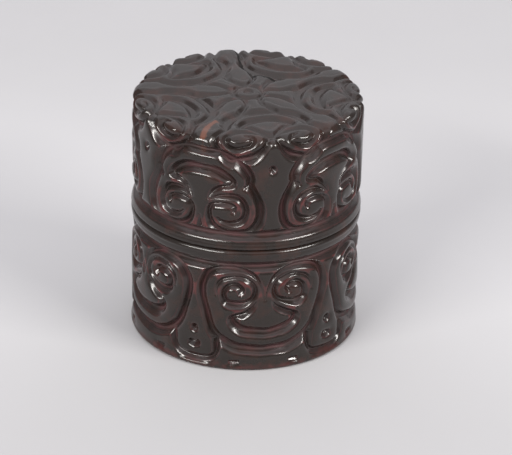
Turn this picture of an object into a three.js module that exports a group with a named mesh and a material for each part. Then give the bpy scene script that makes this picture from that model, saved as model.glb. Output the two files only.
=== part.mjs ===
// A round lidded box of carved lacquer over a core of bent wood, boards and ramie cloth.
// Millimetres, +Z up. The origin is the centre of the foot, on the surface that the box stands on.
// The front of the box faces -Y.

import * as THREE from "three";

// Overall sizes
const outer_diameter = 90;
const total_height = 98.5;
const seam_height = 52;
const shoulder_radius = 5;
const foot_edge_radius = 1.5;

// Lacquer coats
const carved_lacquer_thickness = 4.2;
const rim_lip_thickness = 1.2;
const foot_flange_thickness = 1.4;
const foot_ring_width = 8;
const lining_thickness = 0.6;
const collar_coat_thickness = 0.5;
const underside_coat_thickness = 0.6;
const underside_recess = 0.8;

// Turned rim bands on each side of the seam, and the channels that part them from the carved field
const lid_band_height = 4.1;
const base_band_height = 4.8;
const rim_band_edge_radius = 1;
const seam_edge_bevel = 0.4;
const lid_channel_width = 4.4;
const base_channel_width = 4.4;
const channel_floor_width = 0.8;
const channel_depth = 2.6;

// The carved motif, which repeats round the box. Half of it fills a half cell and the other half mirrors it.
const motif_count = 5;
const groove_half_width = 2.2;
const groove_depth = 2.4;
const groove_slope = 1.3;
const lid_motif_height = 32;
const base_motif_height = 34;
const top_motif_height = 29.7;
const top_motif_foot_drop = 0.65;
const plain_top_radius = 12;
const carving_row_height = 2.5;

// Half of the lid's motif. Each groove is a list of points: across from the motif's axis as a share of the
// half cell, up from the field's edge as a share of the motif's height, and a share of the half width.
const lid_outline_shares = [
  [0, 0.99, 1.05], [0.18, 0.98, 1.05], [0.35, 0.94, 1.05], [0.52, 0.87, 1.1], [0.64, 0.76, 1.1],
  [0.71, 0.65, 1.05], [0.73, 0.57, 0.95], [0.76, 0.49, 0.95], [0.83, 0.39, 0.95], [0.86, 0.27, 1],
  [0.86, 0.14, 1], [0.8, 0.03, 1], [0.69, -0.04, 1], [0.53, -0.07, 1.05], [0.35, -0.06, 1.05],
  [0.22, 0, 0.95], [0.13, 0.07, 0.95], [0.09, 0.15, 0.95], [0.05, 0.21, 1], [0.03, 0.27, 1.15],
];
const lid_crown_shares = [
  [0, 0.76, 1.05], [0.16, 0.75, 1.1], [0.28, 0.72, 1.15], [0.39, 0.67, 1.05], [0.41, 0.61, 0.9],
  [0.35, 0.55, 0.8], [0.25, 0.49, 0.8], [0.17, 0.42, 0.8], [0.1, 0.34, 0.85], [0.02, 0.26, 1.1],
];
const lid_volute_shares = [
  [0.2, 0.4, 0.8], [0.32, 0.4, 0.85], [0.43, 0.41, 0.9], [0.54, 0.38, 0.9], [0.6, 0.29, 0.85],
  [0.57, 0.19, 0.85], [0.45, 0.14, 0.85], [0.32, 0.16, 0.8],
];

// Half of the base's motif, which hangs upside down: its points run down from the field's upper edge.
const base_outline_shares = [
  [0, 0.99, 1.05], [0.18, 0.99, 1.05], [0.32, 0.97, 1.1], [0.46, 0.94, 1.1], [0.59, 0.89, 1.15],
  [0.67, 0.82, 1.1], [0.74, 0.74, 1], [0.78, 0.65, 1], [0.82, 0.54, 0.95], [0.86, 0.44, 0.95],
  [0.9, 0.32, 1], [0.9, 0.2, 1], [0.83, 0.07, 0.95], [0.72, 0, 1], [0.55, -0.03, 1.05],
  [0.37, -0.03, 1.05], [0.22, 0.03, 0.95], [0.13, 0.11, 0.95], [0.1, 0.18, 0.9], [0.06, 0.24, 0.95],
  [0.04, 0.3, 1.1],
];
const base_crown_shares = [
  [0, 0.77, 1.05], [0.17, 0.76, 1.1], [0.29, 0.73, 1.15], [0.4, 0.67, 1.05], [0.43, 0.6, 0.9],
  [0.36, 0.55, 0.8], [0.26, 0.5, 0.8], [0.18, 0.44, 0.8], [0.1, 0.36, 0.85], [0.02, 0.28, 1.1],
];
const base_volute_shares = [
  [0.2, 0.42, 0.8], [0.33, 0.42, 0.85], [0.44, 0.43, 0.9], [0.56, 0.4, 0.9], [0.62, 0.32, 0.85],
  [0.59, 0.22, 0.85], [0.47, 0.17, 0.85], [0.33, 0.19, 0.8],
];
const base_border_shares = [
  [1, 1.12, 0.65], [0.89, 1.12, 0.65], [0.81, 1.11, 0.65], [0.74, 1.09, 0.65], [0.69, 1.05, 0.7],
  [0.67, 0.98, 0.85], [0.66, 0.9, 1.05],
];

// On the top, the motif is drawn in towards the middle. Its place there is a share of the flat top's radius.
const top_inner_width_share = 0.77;
const top_outer_width_share = 0.93;
const top_narrowing_from_share = 0.72;
const top_narrowing_to_share = 0.95;

// Wooden core and its cloth
const cloth_thickness = 0.5;
const lid_hoop_thickness = 2.2;
const lid_board_thickness = 3;
const floor_board_thickness = 4;
const collar_hoop_thickness = 1.8;
const collar_rise = 10;
const collar_edge_radius = 0.4;
const hoop_scarf_length = 18;

// Clearances
const layer_gap = 0.3;
const seam_gap = 0.3;
const lid_fit_clearance = 0.35;

// Counts and angles
const facets_around = 60;
const steps_in_a_rounded_edge = 3;
const steps_in_a_scarf = 6;
const steps_in_the_carved_shoulder = 4;
const columns_in_a_half_motif = 12;
const points_between_groove_points = 5;
const tries_each_way = 4;
const longest_move_share = 0.46;
const near_the_groove_floor_share = 0.85;
const edge_depth_share = 0.25;
const lid_motif_angle = THREE.MathUtils.degToRad(-23.2);
const base_motif_angle = THREE.MathUtils.degToRad(10.6);
const lid_hoop_joint_angle = THREE.MathUtils.degToRad(200);
const base_hoop_joint_angle = THREE.MathUtils.degToRad(80);
const collar_hoop_joint_angle = THREE.MathUtils.degToRad(320);
const lid_cloth_joint_angle = THREE.MathUtils.degToRad(140);
const base_cloth_joint_angle = THREE.MathUtils.degToRad(20);

// Radii, worked inwards from the carved face
const outer_radius = outer_diameter / 2;
const coat_inner_radius = outer_radius - carved_lacquer_thickness;
const cloth_outer_radius = coat_inner_radius - layer_gap;
const cloth_inner_radius = cloth_outer_radius - cloth_thickness;
const core_outer_radius = cloth_inner_radius - layer_gap;
const lid_hoop_inner_radius = core_outer_radius - lid_hoop_thickness;
const lid_lining_outer_radius = lid_hoop_inner_radius - layer_gap;
const lid_lining_inner_radius = lid_lining_outer_radius - lining_thickness;
const collar_coat_outer_radius = lid_lining_inner_radius - lid_fit_clearance;
const collar_coat_inner_radius = collar_coat_outer_radius - collar_coat_thickness;
const collar_hoop_outer_radius = collar_coat_inner_radius - layer_gap;
const collar_hoop_inner_radius = collar_hoop_outer_radius - collar_hoop_thickness;
const base_hoop_inner_radius = collar_hoop_outer_radius + layer_gap;
const base_lining_outer_radius = collar_hoop_inner_radius - layer_gap;
const base_lining_inner_radius = base_lining_outer_radius - lining_thickness;
const seat_inner_radius = collar_coat_outer_radius + layer_gap;
const foot_ring_inner_radius = outer_radius - foot_ring_width;
const underside_coat_radius = foot_ring_inner_radius - layer_gap;

// The carved field
const half_cell_angle = Math.PI / motif_count;
const half_cell_width = outer_radius * half_cell_angle;
const flat_top_radius = outer_radius - shoulder_radius;
const lid_motif = [lid_outline_shares, lid_crown_shares, lid_volute_shares];
const base_motif = [base_outline_shares, base_crown_shares, base_volute_shares, base_border_shares];

// Levels of the base, worked up from the foot
const underside_level = underside_recess;
const underside_coat_top = underside_level + underside_coat_thickness;
const base_cloth_disc_bottom = Math.max(foot_flange_thickness, underside_coat_top) + layer_gap;
const base_cloth_disc_top = base_cloth_disc_bottom + cloth_thickness;
const floor_board_bottom = base_cloth_disc_top + layer_gap;
const floor_board_top = floor_board_bottom + floor_board_thickness;
const base_hoop_bottom = floor_board_top + layer_gap;
const base_lining_floor = base_hoop_bottom + lining_thickness;
const seat_level = seam_height - seam_gap / 2;
const seat_underside = seat_level - rim_lip_thickness;
const base_hoop_top = seat_underside - layer_gap;
const collar_hoop_top = seat_level + collar_rise;
const collar_top = collar_hoop_top + layer_gap + collar_coat_thickness;

// Levels of the lid, worked down from the top and up from the mouth
const mouth_level = seam_height + seam_gap / 2;
const mouth_lip_top = mouth_level + rim_lip_thickness;
const lid_hoop_bottom = mouth_lip_top + layer_gap;
const lid_coat_ceiling = total_height - carved_lacquer_thickness;
const lid_cloth_disc_top = lid_coat_ceiling - layer_gap;
const lid_cloth_disc_bottom = lid_cloth_disc_top - cloth_thickness;
const lid_board_top = lid_cloth_disc_bottom - layer_gap;
const lid_board_bottom = lid_board_top - lid_board_thickness;
const lid_hoop_top = lid_board_bottom - layer_gap;
const lid_lining_ceiling = lid_hoop_top - lining_thickness;

// Materials
function finish(color, roughness) {
  return new THREE.MeshStandardMaterial({ color, roughness, metalness: 0 });
}
const carved_lacquer = () => finish(0x3b3230, 0.3);
const black_lacquer = () => finish(0x1c1817, 0.25);
const core_wood = () => finish(0xb08a5c, 0.7);
const ramie_cloth = () => finish(0x8d7f66, 0.9);

// Points of an arc in a profile's plane, from one angle to the other, in degrees from the outward side
function arcPoints(centre_r, centre_z, radius, from_degrees, to_degrees, steps) {
  return Array.from({ length: steps + 1 }, (_, i) => {
    const angle = THREE.MathUtils.degToRad(from_degrees + ((to_degrees - from_degrees) * i) / steps);
    return [centre_r + radius * Math.cos(angle), centre_z + radius * Math.sin(angle)];
  });
}

// A solid turned about the box's axis. The profile runs counter-clockwise, as [radius, height] points.
function turned(name, material, profile) {
  const points = profile.map(([r, z]) => new THREE.Vector2(r, z));
  const geometry = new THREE.LatheGeometry(points, facets_around);
  geometry.rotateX(Math.PI / 2);
  const mesh = new THREE.Mesh(geometry, material);
  mesh.name = name;
  return mesh;
}

// A turned solid whose profile doesn't reach the axis closes on its own first point.
function turnedRing(name, material, profile) {
  return turned(name, material, [...profile, profile[0]]);
}

function disc(name, material, radius, bottom, top) {
  return turned(name, material, [
    [0, bottom],
    [radius, bottom],
    [radius, top],
    [0, top],
  ]);
}

// A strip bent into a hoop. Its ends overlap in a scarf of the given length, or butt where that is zero,
// with the layer gap between them.
function bentHoop(name, material, { inner, outer, bottom, top, scarf_length, joint_angle }) {
  const scarf_angle = scarf_length / outer;
  const slit_angle = layer_gap / outer + (scarf_angle * layer_gap) / (outer - inner);
  const full_turn = 2 * Math.PI - slit_angle;
  const outline = [];
  const addPoint = (radius, angle) =>
    outline.push(new THREE.Vector2(radius * Math.sin(angle), -radius * Math.cos(angle)));
  const addArc = (radius, from, to) => {
    for (let i = 0; i <= facets_around; i += 1) {
      addPoint(radius, joint_angle + from + ((to - from) * i) / facets_around);
    }
  };
  const addScarf = (from_radius, from, to_radius, to) => {
    for (let i = 1; i < steps_in_a_scarf; i += 1) {
      const share = i / steps_in_a_scarf;
      addPoint(
        THREE.MathUtils.lerp(from_radius, to_radius, share),
        joint_angle + THREE.MathUtils.lerp(from, to, share),
      );
    }
  };
  addArc(outer, 0, full_turn);
  addScarf(outer, full_turn, inner, full_turn - scarf_angle);
  addArc(inner, full_turn - scarf_angle, -scarf_angle);
  addScarf(inner, -scarf_angle, outer, 0);
  const shape = new THREE.Shape(outline);
  const geometry = new THREE.ExtrudeGeometry(shape, { depth: top - bottom, bevelEnabled: false });
  const mesh = new THREE.Mesh(geometry, material);
  mesh.name = name;
  mesh.position.z = bottom;
  return mesh;
}

// A groove's points along a smooth curve, from a table of shares
function groovePoints(shares, place) {
  const corners = shares.map(([across, up, width]) => {
    const [x, y] = place(across * half_cell_width, up);
    return new THREE.Vector3(x, y, width * groove_half_width);
  });
  const curve = new THREE.CatmullRomCurve3(corners, false, "centripetal");
  return curve.getPoints((corners.length - 1) * points_between_groove_points);
}

// How far a pointed tool cuts at a place beside grooves, and how near it is to a groove's floor as a share
function cutAt(grooves, x, y) {
  let depth = -Infinity;
  let nearness = -Infinity;
  for (const point of grooves) {
    const distance = Math.hypot(point.x - x, point.y - y);
    depth = Math.max(depth, groove_slope * (point.z - distance));
    nearness = Math.max(nearness, 1 - distance / point.z);
  }
  return { depth, nearness };
}

function deeperCut(a, b) {
  return a.depth > b.depth ? a : b;
}

// Grooves on the upright wall, with their mirror images about both edges of the half cell
function wallGrooves(tables, edge_height, rise) {
  const place = (across, up) => [across, edge_height + rise * up];
  return tables.flatMap((shares) =>
    groovePoints(shares, place).flatMap((point) => [
      point,
      new THREE.Vector3(-point.x, point.y, point.z),
      new THREE.Vector3(2 * half_cell_width - point.x, point.y, point.z),
    ]),
  );
}

// Grooves on the flat top, as seen from above with the top motif's axis along +y
function topGrooves(tables, foot_distance) {
  const place = (across, up) => {
    const out = foot_distance - top_motif_height * up;
    const blend = THREE.MathUtils.smoothstep(
      out,
      top_narrowing_from_share * flat_top_radius,
      top_narrowing_to_share * flat_top_radius,
    );
    return [across * THREE.MathUtils.lerp(top_inner_width_share, top_outer_width_share, blend), out];
  };
  const sin = Math.sin(2 * half_cell_angle);
  const cos = Math.cos(2 * half_cell_angle);
  return tables.flatMap((shares) =>
    groovePoints(shares, place).flatMap((point) => [
      point,
      new THREE.Vector3(-point.x, point.y, point.z),
      new THREE.Vector3(point.y * sin - point.x * cos, point.y * cos + point.x * sin, point.z),
    ]),
  );
}

// A half cell's rows of points. Each moves within its own share of the grid onto a groove's floor or edge.
function carvedRows(outline, levels, cut) {
  const column_angle = half_cell_angle / columns_in_a_half_motif;
  return levels.map((level, i) =>
    Array.from({ length: columns_in_a_half_motif + 1 }, (_, j) => {
      const angle = j * column_angle;
      const at_row_end = i === 0 || i === levels.length - 1;
      const at_column_end = j === 0 || j === columns_in_a_half_motif;
      if (at_row_end) {
        return { angle, level, ...outline(level, 0), depth: 0 };
      }
      let floor = null;
      let edge = null;
      for (let a = -tries_each_way; a <= tries_each_way; a += 1) {
        for (let b = -tries_each_way; b <= tries_each_way; b += 1) {
          if (at_column_end && a !== 0) continue;
          const gap = levels[i + Math.sign(b)] - level;
          const tried_level = level + (longest_move_share * Math.abs(b) * gap) / tries_each_way;
          const tried_angle = angle + (longest_move_share * a * column_angle) / tries_each_way;
          const { depth, nearness } = cut(tried_angle, tried_level);
          const tried = { angle: tried_angle, level: tried_level, depth, nearness };
          if (floor === null || nearness > floor.nearness) floor = tried;
          if (edge === null || Math.abs(depth) < Math.abs(edge.depth)) edge = tried;
        }
      }
      const own = { angle, level, ...cut(angle, level) };
      const crosses_edge = Math.abs(edge.depth) < Math.abs(own.depth) * edge_depth_share;
      const best = floor.nearness > near_the_groove_floor_share ? floor : crosses_edge ? edge : own;
      const depth = THREE.MathUtils.clamp(best.depth, 0, groove_depth);
      return { angle: best.angle, level: best.level, ...outline(best.level, depth), depth };
    }),
  );
}

// Whether a quad folds along its rising diagonal, as the depth at its middle asks
function foldsAlongRise(lower, upper, j, cut) {
  const corners = [lower[j], lower[j + 1], upper[j + 1], upper[j]];
  const mean = (key) => corners.reduce((sum, corner) => sum + corner[key], 0) / corners.length;
  const middle = THREE.MathUtils.clamp(cut(mean("angle"), mean("level")).depth, 0, groove_depth);
  const [a, b, c, d] = corners.map((corner) => corner.depth);
  return Math.abs((a + c) / 2 - middle) <= Math.abs((b + d) / 2 - middle);
}

// The points of a profile as rows of a half cell, where nothing is carved
function plainRows(profile) {
  return profile.map(([r, z]) =>
    Array.from({ length: columns_in_a_half_motif + 1 }, (_, j) => ({
      angle: (j * half_cell_angle) / columns_in_a_half_motif,
      r,
      z,
      plain: true,
    })),
  );
}

// A closed solid from rows of a half cell, which is mirrored and repeated round the axis. The rows run
// counter-clockwise in the plane of radius and height, and a plain row keeps every second column only.
function repeatedRound(name, material, rows, cut, axis_angle) {
  const columns = 2 * columns_in_a_half_motif * motif_count;
  const positions = [];
  const rings = rows.map((row) => {
    const stride = row[0].r === 0 ? columns : row[0].plain ? 2 : 1;
    const first = positions.length / 3;
    for (let c = 0; c < columns; c += stride) {
      const cell = Math.floor(c / (2 * columns_in_a_half_motif));
      const k = c % (2 * columns_in_a_half_motif);
      const mirrored = k > columns_in_a_half_motif;
      const point = row[mirrored ? 2 * columns_in_a_half_motif - k : k];
      const cell_angle = axis_angle + 2 * cell * half_cell_angle;
      const angle = mirrored ? cell_angle + 2 * half_cell_angle - point.angle : cell_angle + point.angle;
      positions.push(point.r * Math.sin(angle), -point.r * Math.cos(angle), point.z);
    }
    return (c) => first + Math.floor((c % columns) / stride);
  });
  const faces = [];
  const addFace = (a, b, c) => {
    if (a !== b && b !== c && c !== a) faces.push(a, b, c);
  };
  for (let i = 0; i + 1 < rows.length; i += 1) {
    for (let c = 0; c < columns; c += 1) {
      const k = c % (2 * columns_in_a_half_motif);
      const mirrored = k >= columns_in_a_half_motif;
      const j = mirrored ? 2 * columns_in_a_half_motif - 1 - k : k;
      const plain = rows[i][j].plain || rows[i + 1][j].plain;
      const rises = plain || foldsAlongRise(rows[i], rows[i + 1], j, cut);
      const [a, b, d, e] = [rings[i](c), rings[i](c + 1), rings[i + 1](c + 1), rings[i + 1](c)];
      if (rises !== mirrored) {
        addFace(a, b, d);
        addFace(a, d, e);
      } else {
        addFace(a, b, e);
        addFace(b, d, e);
      }
    }
  }
  const geometry = new THREE.BufferGeometry();
  geometry.setAttribute("position", new THREE.Float32BufferAttribute(positions, 3));
  geometry.setIndex(faces);
  geometry.computeVertexNormals();
  const mesh = new THREE.Mesh(geometry, material);
  mesh.name = name;
  return mesh;
}

// Levels from one to the other in even steps of about the given height
function levelsBetween(from, to, step) {
  const steps = Math.round((to - from) / step);
  return Array.from({ length: steps + 1 }, (_, i) => THREE.MathUtils.lerp(from, to, i / steps));
}

// The turned channel beside a rim band, as profile points from its lower edge to its upper edge
function channelPoints(lower_edge, upper_edge) {
  const slope_height = (upper_edge - lower_edge - channel_floor_width) / 2;
  const floor_radius = outer_radius - channel_depth;
  return [
    [outer_radius, lower_edge],
    [floor_radius, lower_edge + slope_height],
    [floor_radius, upper_edge - slope_height],
    [outer_radius, upper_edge],
  ];
}

// The lid's carved field: it climbs the side, turns over the shoulder and runs in to the plain middle
function lidField(field_bottom) {
  const shoulder_start = total_height - shoulder_radius;
  const shoulder_arc = (shoulder_radius * Math.PI) / 2;
  const shoulder_end = shoulder_start + shoulder_arc;
  const middle = shoulder_end + flat_top_radius;
  const side_grooves = wallGrooves(lid_motif, field_bottom, lid_motif_height);
  const top_grooves = topGrooves(lid_motif, middle - shoulder_start + top_motif_foot_drop);
  const outline = (level, depth) => {
    const turn = THREE.MathUtils.clamp((level - shoulder_start) / shoulder_radius, 0, Math.PI / 2);
    const reach = shoulder_radius - depth;
    return {
      r: flat_top_radius + reach * Math.cos(turn) - Math.max(level - shoulder_end, 0),
      z: Math.min(level, shoulder_start) + reach * Math.sin(turn),
    };
  };
  const cut = (angle, level) => {
    const out = middle - level;
    const from_axis = half_cell_angle - angle;
    return deeperCut(
      cutAt(side_grooves, angle * outer_radius, level),
      cutAt(top_grooves, out * Math.sin(from_axis), out * Math.cos(from_axis)),
    );
  };
  const levels = [
    ...levelsBetween(field_bottom, shoulder_start, carving_row_height),
    ...levelsBetween(shoulder_start, shoulder_end, shoulder_arc / steps_in_the_carved_shoulder).slice(1),
    ...levelsBetween(shoulder_end, middle - plain_top_radius, carving_row_height).slice(1),
  ];
  return { cut, rows: carvedRows(outline, levels, cut) };
}

function lidCarvedLacquer() {
  const band_top = mouth_level + lid_band_height;
  const field_bottom = band_top + lid_channel_width;
  const turned_profile = [
    [0, lid_coat_ceiling],
    [coat_inner_radius, lid_coat_ceiling],
    [coat_inner_radius, mouth_lip_top],
    [lid_lining_outer_radius + layer_gap, mouth_lip_top],
    [lid_lining_outer_radius + layer_gap, mouth_level],
    [outer_radius - seam_edge_bevel, mouth_level],
    [outer_radius, mouth_level + seam_edge_bevel],
    ...arcPoints(
      outer_radius - rim_band_edge_radius,
      band_top - rim_band_edge_radius,
      rim_band_edge_radius,
      0,
      60,
      steps_in_a_rounded_edge,
    ),
    ...channelPoints(band_top, field_bottom).slice(1, -1),
  ];
  const field = lidField(field_bottom);
  const rows = [...plainRows(turned_profile), ...field.rows, ...plainRows([[0, total_height]])];
  return repeatedRound("lid_carved_lacquer", carved_lacquer(), rows, field.cut, lid_motif_angle);
}

function baseCarvedLacquer() {
  const band_bottom = seat_level - base_band_height;
  const field_top = band_bottom - base_channel_width;
  const grooves = wallGrooves(base_motif, field_top, -base_motif_height);
  const outline = (level, depth) => ({ r: outer_radius - depth, z: level });
  const cut = (angle, level) => cutAt(grooves, angle * outer_radius, level);
  const levels = levelsBetween(foot_edge_radius, field_top, carving_row_height);
  const below = [
    [foot_ring_inner_radius, 0],
    ...arcPoints(
      outer_radius - foot_edge_radius,
      foot_edge_radius,
      foot_edge_radius,
      -90,
      0,
      steps_in_a_rounded_edge,
    ).slice(0, -1),
  ];
  const above = [
    ...channelPoints(field_top, band_bottom).slice(1),
    ...arcPoints(
      outer_radius - rim_band_edge_radius,
      seat_level - rim_band_edge_radius,
      rim_band_edge_radius,
      0,
      90,
      steps_in_a_rounded_edge,
    ),
    [seat_inner_radius, seat_level],
    [seat_inner_radius, seat_underside],
    [coat_inner_radius, seat_underside],
    [coat_inner_radius, foot_flange_thickness],
    [foot_ring_inner_radius, foot_flange_thickness],
    below[0],
  ];
  const rows = [...plainRows(below), ...carvedRows(outline, levels, cut), ...plainRows(above)];
  return repeatedRound("base_carved_lacquer", carved_lacquer(), rows, cut, base_motif_angle);
}

function lidLining() {
  return turned("lid_lining", black_lacquer(), [
    [0, lid_lining_ceiling],
    [lid_lining_inner_radius, lid_lining_ceiling],
    [lid_lining_inner_radius, mouth_level],
    [lid_lining_outer_radius, mouth_level],
    [lid_lining_outer_radius, lid_hoop_top],
    [0, lid_hoop_top],
  ]);
}

function baseLining() {
  return turned("base_lining", black_lacquer(), [
    [0, base_hoop_bottom],
    [base_lining_outer_radius, base_hoop_bottom],
    [base_lining_outer_radius, collar_top],
    [base_lining_inner_radius, collar_top],
    [base_lining_inner_radius, base_lining_floor],
    [0, base_lining_floor],
  ]);
}

function collarLacquer() {
  return turnedRing("collar_lacquer", black_lacquer(), [
    [collar_coat_inner_radius, seat_underside],
    [collar_coat_outer_radius, seat_underside],
    ...arcPoints(
      collar_coat_outer_radius - collar_edge_radius,
      collar_top - collar_edge_radius,
      collar_edge_radius,
      0,
      90,
      steps_in_a_rounded_edge,
    ),
    [collar_hoop_inner_radius, collar_top],
    [collar_hoop_inner_radius, collar_hoop_top + layer_gap],
    [collar_coat_inner_radius, collar_hoop_top + layer_gap],
  ]);
}

const lid = new THREE.Group();
lid.add(
  lidCarvedLacquer(),
  disc("lid_cloth_disc", ramie_cloth(), cloth_outer_radius, lid_cloth_disc_bottom, lid_cloth_disc_top),
  bentHoop("lid_cloth_strip", ramie_cloth(), {
    inner: cloth_inner_radius,
    outer: cloth_outer_radius,
    bottom: lid_hoop_bottom,
    top: lid_board_top,
    scarf_length: 0,
    joint_angle: lid_cloth_joint_angle,
  }),
  disc("lid_top_board", core_wood(), core_outer_radius, lid_board_bottom, lid_board_top),
  bentHoop("lid_wall_hoop", core_wood(), {
    inner: lid_hoop_inner_radius,
    outer: core_outer_radius,
    bottom: lid_hoop_bottom,
    top: lid_hoop_top,
    scarf_length: hoop_scarf_length,
    joint_angle: lid_hoop_joint_angle,
  }),
  lidLining(),
);

const base = new THREE.Group();
base.add(
  baseCarvedLacquer(),
  disc("base_cloth_disc", ramie_cloth(), cloth_outer_radius, base_cloth_disc_bottom, base_cloth_disc_top),
  bentHoop("base_cloth_strip", ramie_cloth(), {
    inner: cloth_inner_radius,
    outer: cloth_outer_radius,
    bottom: floor_board_bottom,
    top: base_hoop_top,
    scarf_length: 0,
    joint_angle: base_cloth_joint_angle,
  }),
  disc("base_floor_board", core_wood(), core_outer_radius, floor_board_bottom, floor_board_top),
  bentHoop("base_wall_hoop", core_wood(), {
    inner: base_hoop_inner_radius,
    outer: core_outer_radius,
    bottom: base_hoop_bottom,
    top: base_hoop_top,
    scarf_length: hoop_scarf_length,
    joint_angle: base_hoop_joint_angle,
  }),
  bentHoop("collar_hoop", core_wood(), {
    inner: collar_hoop_inner_radius,
    outer: collar_hoop_outer_radius,
    bottom: base_hoop_bottom,
    top: collar_hoop_top,
    scarf_length: hoop_scarf_length,
    joint_angle: collar_hoop_joint_angle,
  }),
  collarLacquer(),
  baseLining(),
  disc("underside_lacquer", black_lacquer(), underside_coat_radius, underside_level, underside_coat_top),
);

const box = new THREE.Group();
box.add(base, lid);

export default box;
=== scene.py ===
"""A round lidded box of carved dark lacquer: the carved coats, the plain linings, and the studio round them."""

import math

import bpy
import numpy as np
from mathutils import Matrix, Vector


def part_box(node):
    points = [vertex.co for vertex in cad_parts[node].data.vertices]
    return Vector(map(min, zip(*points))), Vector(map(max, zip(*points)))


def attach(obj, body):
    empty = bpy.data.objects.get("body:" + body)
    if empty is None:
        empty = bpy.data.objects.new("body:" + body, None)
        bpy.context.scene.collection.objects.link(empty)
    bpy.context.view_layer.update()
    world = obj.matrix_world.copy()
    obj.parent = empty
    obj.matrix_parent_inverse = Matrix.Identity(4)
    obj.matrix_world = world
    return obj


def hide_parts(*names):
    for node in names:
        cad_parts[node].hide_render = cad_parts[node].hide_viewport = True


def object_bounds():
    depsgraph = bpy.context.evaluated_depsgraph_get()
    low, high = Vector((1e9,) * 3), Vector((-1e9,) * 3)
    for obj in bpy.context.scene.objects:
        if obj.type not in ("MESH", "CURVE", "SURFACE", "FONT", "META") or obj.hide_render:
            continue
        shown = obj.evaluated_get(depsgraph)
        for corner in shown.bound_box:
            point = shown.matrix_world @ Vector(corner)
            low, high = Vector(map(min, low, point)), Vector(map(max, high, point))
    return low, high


bl_info = {
    "name": "Carved Lacquer Box",
    "version": (1, 0, 0),
    "blender": (4, 5, 0),
    "location": "View3D > Sidebar > Lacquer Box",
    "description": "Dresses a turned lidded box in carved lacquer with scrolling channels",
    "category": "Object",
}

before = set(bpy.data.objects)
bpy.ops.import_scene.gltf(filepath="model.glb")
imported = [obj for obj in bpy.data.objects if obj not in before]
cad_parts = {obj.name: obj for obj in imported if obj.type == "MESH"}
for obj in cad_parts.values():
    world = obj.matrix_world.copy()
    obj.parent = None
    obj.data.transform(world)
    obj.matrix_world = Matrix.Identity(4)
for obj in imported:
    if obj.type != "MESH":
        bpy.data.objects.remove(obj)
cad_low, cad_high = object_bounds()

MM = 0.001

# Heights and radii of the turned forms in millimetres; the first four are read from the imported model, the rest
# are given
COAT_RADIUS = cad_high.x / MM
TOP_HEIGHT = cad_high.z / MM
MOUTH_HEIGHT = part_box("lid_carved_lacquer")[0].z / MM
SEAT_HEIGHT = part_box("base_carved_lacquer")[1].z / MM
COAT_INNER_RADIUS = 40.8
COAT_CEILING = 94.3
LIP_THICKNESS = 1.2
LID_LIP_RADIUS = 37.5
SEAT_LIP_RADIUS = 36.55
FOOT_RING_RADIUS = 37.0
FOOT_FLANGE = 1.4
SHOULDER_RADIUS = 5.0
FOOT_EDGE_RADIUS = 1.5
CORE_RADIUS = 40
LINING_THICKNESS = 0.6

# The inner radii of the collar's coat at its top and at its skirt, and how thick its top is
COLLAR_COAT = (33.65, 35.75, 0.5)

# The points on a rounded corner lie this far apart
ARC_SPACING = 0.22

# The spacing of the ramie's threads, and the lowest layer of lacquer that a cut bares
THREAD_SPACING = 0.7
LOWEST_LAYER = 3

# The motif repeats five times round the box, and each half of it mirrors the other
REPEATS = 5
HALF_CELL = math.pi / REPEATS

# Half of the motif on the lid. Each groove is a list of points (across from the motif's axis, up from its
# foot, half of the groove's width), in millimetres.
OUTLINE_GROOVE = [
    (0, 31.7, 2.3), (5, 31.4, 2.3), (10, 30.2, 2.35), (14.7, 27.8, 2.4), (18.1, 24.4, 2.4), (19.9, 20.9, 2.3),
    (19.7, 18.6, 2.1), (20.9, 15.8, 2), (22.4, 12.6, 2.1), (23.6, 8.5, 2.2), (23.5, 4.6, 2.2), (22, 1, 2.2),
    (19.5, -1.3, 2.2), (15, -2.2, 2.3), (10, -2, 2.3), (6.1, -0.1, 2.1), (3.8, 2.3, 2.1), (2.6, 4.7, 2),
    (1.6, 6.8, 2.2), (0.8, 8.6, 2.7),
]
NOTCH_GROOVE = [(19.6, 18.2, 1.9), (17.6, 17.5, 0.9)]
CROWN_GROOVE = [
    (0, 23.9, 2.3), (4.5, 23.5, 2.4), (8.3, 22.4, 2.5), (11.4, 20.7, 2.3), (12.9, 18.9, 2), (11.8, 17.7, 1.6),
    (8.9, 17, 1.5), (6.2, 15, 1.6), (4, 12.7, 1.6), (2.1, 10.4, 1.9), (0.6, 8.2, 2.4),
]
VOLUTE_GROOVE = [
    (4.3, 11, 0.2), (6.2, 12.3, 1.3), (9, 13.1, 1.8), (12, 13.2, 1.9), (15, 12.4, 1.9), (17.2, 10.2, 1.8),
    (18.1, 7.3, 1.7), (17.4, 4.4, 1.7), (15, 2.4, 1.7), (11.8, 1.8, 1.5), (8.8, 2.6, 1.2), (7, 4.1, 0.8),
]
LID_MOTIF = [
    OUTLINE_GROOVE[:-4] + [
        (4.3, 2.2, 1.9), (3.6, 4.9, 1.6), (3.8, 7.4, 1.4), (5.2, 9.2, 1.3), (8, 10, 1.3), (11.2, 9.8, 1.3),
        (13.6, 8.7, 1.2), (13.4, 7.1, 0.8),
    ],
    NOTCH_GROOVE,
    CROWN_GROOVE[:-3] + [(4.5, 13.1, 1), (3.5, 11.4, 0.2)],
    VOLUTE_GROOVE,
    [(0, -0.5, 1.5), (0, 1.8, 0.9), (0, 4.2, 0.3)],
]

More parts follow.
